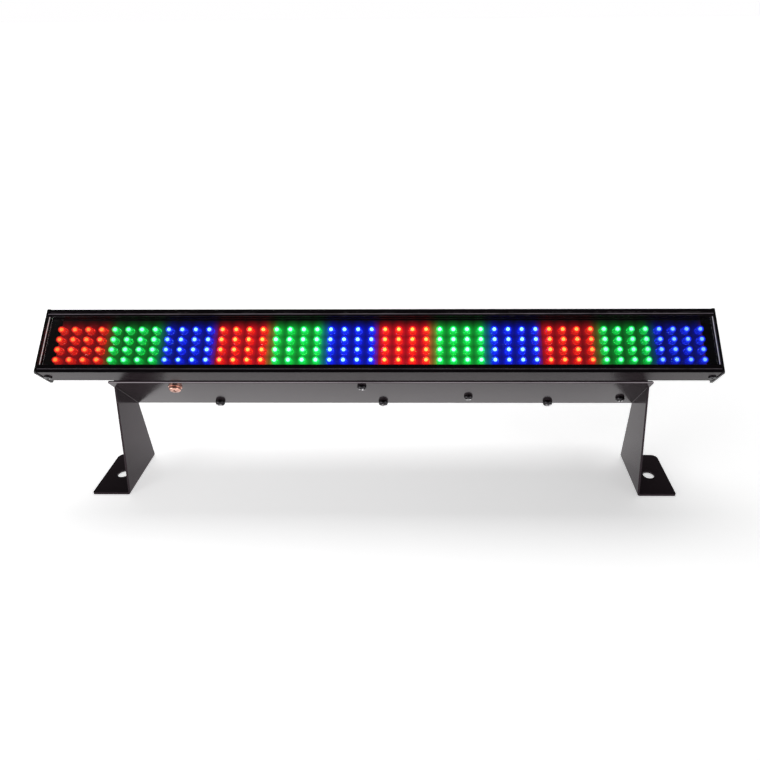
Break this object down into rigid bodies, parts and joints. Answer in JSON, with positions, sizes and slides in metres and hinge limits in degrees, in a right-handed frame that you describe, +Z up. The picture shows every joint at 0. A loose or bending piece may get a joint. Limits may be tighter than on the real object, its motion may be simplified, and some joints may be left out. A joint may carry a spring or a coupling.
{
  "type": "led strip batten",
  "caption": "Black LED strip batten: tilted light bar of red, green and blue LED blocks on a one-piece bent sheet bracket with two outward feet, electronics behind.",
  "frame": {"origin": "on the floor under the middle of the object: the middle of the bounding box's base", "axes": "+X along the light bar, to the right seen from the lit side; +Y from the lit side to the back; +Z up"},
  "size_m": [0.49, 0.0864, 0.1421],
  "materials": {
    "extrusion_black": "satin black anodised",
    "cap_black": "gloss black moulded",
    "sheet_black": "satin black powder coat",
    "screw_black": "black zinc plated",
    "earth_copper": "bare bright copper plated",
    "clear_acrylic": "clear polished",
    "led_board_black": "black solder mask",
    "led_red": "clear lens, lit red",
    "led_green": "clear lens, lit green",
    "led_blue": "clear lens, lit blue",
    "circuit_green": "green solder mask",
    "black_plastic": "fine matt moulded",
    "grey_plastic": "satin moulded",
    "nickel": "satin nickel",
    "bare_aluminium": "mill finish",
    "white_plastic": "matt moulded",
    "red_filter": "dark red tinted",
    "fuse_glass": "clear tube with metal ends",
    "thermal_grey": "matt silicone",
    "ferrite_grey": "matt ferrite with tape",
    "capacitor_sleeve": "shrink sleeve",
    "earth_wire": "green and yellow insulation",
    "wire_black": "smooth insulation",
    "ribbon_grey": "flat ribbon insulation"
  },
  "bodies": {
    "batten": {"front_extrusion": "extrusion_black", "end_cap_left": "cap_black", "end_cap_right": "cap_black", "end_cap_screws": "screw_black", "clear_window": "clear_acrylic", "led_board": "led_board_black", "led_board_spacers": "white_plastic", "led_board_screws": "screw_black", "thermal_strip": "thermal_grey", "leds_red": "led_red", "leds_green": "led_green", "leds_blue": "led_blue", "chassis_bracket": "sheet_black", "flange_screws": "screw_black", "rear_cover": "sheet_black", "cover_rear_screws": "screw_black", "cover_top_screws": "screw_black", "board_screws": "screw_black", "board_standoffs": "nickel", "blind_standoff_screw": "screw_black", "control_board": "circuit_green", "supply_board": "circuit_green", "control_chip": "black_plastic", "driver_chips": "black_plastic", "led_header": "white_plastic", "supply_transformer": "ferrite_grey", "supply_capacitors": "capacitor_sleeve", "supply_heatsink": "bare_aluminium", "earth_washer": "earth_copper", "earth_screw": "earth_copper", "earth_nut": "nickel", "earth_tag": "nickel", "data_inlet_shell": "nickel", "data_inlet_pins": "nickel", "data_outlet_shell": "nickel", "data_outlet_insert": "black_plastic", "data_connector_screws": "screw_black", "power_inlet": "black_plastic", "power_inlet_pins": "nickel", "display_filter": "red_filter", "digit_display": "black_plastic", "display_board": "circuit_green", "display_spacers": "nickel", "display_screws": "screw_black", "display_nuts": "nickel", "button_switches": "black_plastic", "led_board_socket": "white_plastic", "ribbon_cable": "ribbon_grey", "earth_lead": "earth_wire", "mains_leads": "wire_black", "data_leads": "wire_black", "supply_lead": "wire_black"},
    "menu_button_1": {"menu_button_1": "grey_plastic"},
    "menu_button_2": {"menu_button_2": "grey_plastic"},
    "menu_button_3": {"menu_button_3": "grey_plastic"},
    "menu_button_4": {"menu_button_4": "grey_plastic"},
    "outlet_latch": {"data_outlet_latch": "nickel"},
    "fuse_drawer": {"fuse_drawer": "black_plastic", "fuse": "fuse_glass"}
  },
  "joints": [
    {"name": "button_1_press", "type": "slide", "parent": "batten", "child": "menu_button_1", "axis": [0, -0.6428, 0.766], "range_m": [0, 0.001], "stiffness_N_per_m": 800},
    {"name": "button_2_press", "type": "slide", "parent": "batten", "child": "menu_button_2", "axis": [0, -0.6428, 0.766], "range_m": [0, 0.001], "stiffness_N_per_m": 800},
    {"name": "button_3_press", "type": "slide", "parent": "batten", "child": "menu_button_3", "axis": [0, -0.6428, 0.766], "range_m": [0, 0.001], "stiffness_N_per_m": 800},
    {"name": "button_4_press", "type": "slide", "parent": "batten", "child": "menu_button_4", "axis": [0, -0.6428, 0.766], "range_m": [0, 0.001], "stiffness_N_per_m": 800},
    {"name": "latch_press", "type": "slide", "parent": "batten", "child": "outlet_latch", "axis": [0, -0.6428, 0.766], "range_m": [0, 0.0016], "stiffness_N_per_m": 800},
    {"name": "fuse_drawer_pull", "type": "slide", "parent": "batten", "child": "fuse_drawer", "axis": [0, 0.6428, -0.766], "range_m": [0, 0.016]}
  ]
}
